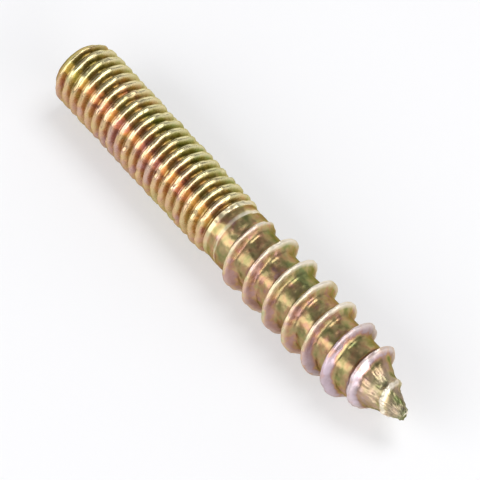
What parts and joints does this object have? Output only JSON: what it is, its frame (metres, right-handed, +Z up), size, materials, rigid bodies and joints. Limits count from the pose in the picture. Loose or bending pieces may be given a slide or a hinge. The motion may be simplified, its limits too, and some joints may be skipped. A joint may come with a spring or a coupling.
{
  "type": "dowel screw",
  "caption": "Headless double-ended steel screw: a metric machine thread on one end, a coarse wood thread with a gimlet point on the other, and a short plain shank between.",
  "frame": {"origin": "on the ground, under the middle of the screw's length", "axes": "+X along the screw's axis, towards the gimlet point; +Z up, with the screw lying on its side"},
  "size_m": [0.0434, 0.0064, 0.0064],
  "materials": {
    "yellow_zinc": "glossy yellow zinc plating over rolled steel, with patches of green, rose and gold"
  },
  "bodies": {
    "root": {"dowel_screw": "yellow_zinc"}
  },
  "joints": []
}
